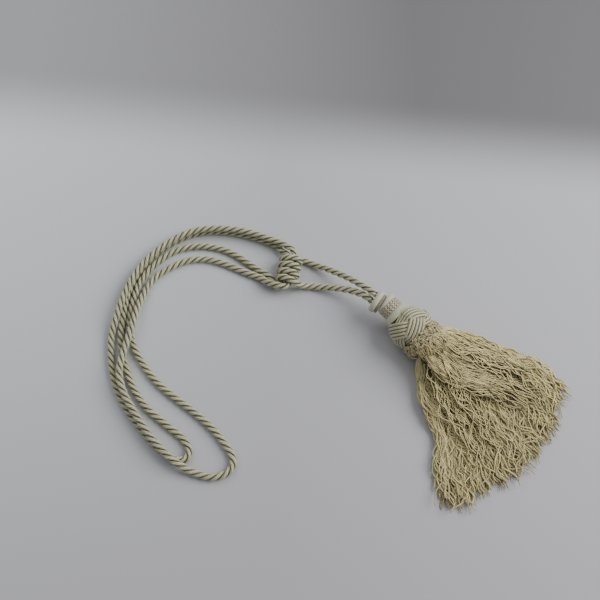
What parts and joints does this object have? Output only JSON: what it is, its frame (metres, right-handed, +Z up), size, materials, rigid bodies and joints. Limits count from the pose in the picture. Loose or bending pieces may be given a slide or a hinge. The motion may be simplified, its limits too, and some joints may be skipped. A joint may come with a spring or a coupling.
{
  "type": "curtain tieback tassel",
  "caption": "Curtain tieback: a twisted satin rope pinched into loops by a wrapped hanger rope, which carries a braid-trimmed neck, woven knot ball, ruff and yarn skirt.",
  "frame": {"origin": "centre of the ball's flat spot, where it rests on the table", "axes": "+X along the tassel in plan, from the neck to the ends of the skirt; +Z up from the table"},
  "size_m": [0.4096, 0.3216, 0.043],
  "materials": {
    "rope_yarn": "satin three-strand twisted cord, greyish sage",
    "satin_thread": "satin thread wound side by side, pale cream",
    "braid": "matt flat braid, pinkish beige",
    "knot_cord": "fine round cords woven in bands, grey beige",
    "loop_trim": "crumpled loop trimming, pinkish beige",
    "skirt_yarn": "crinkled loose yarn, yellowish cream"
  },
  "bodies": {
    "root": {"embrace_rope": "rope_yarn", "hanger_rope": "rope_yarn", "collar": "satin_thread", "neck_bead": "satin_thread", "braid_band": "braid", "neck_cone": "satin_thread", "knot_ball": "knot_cord", "ruff": "loop_trim", "skirt": "skirt_yarn"}
  },
  "joints": []
}
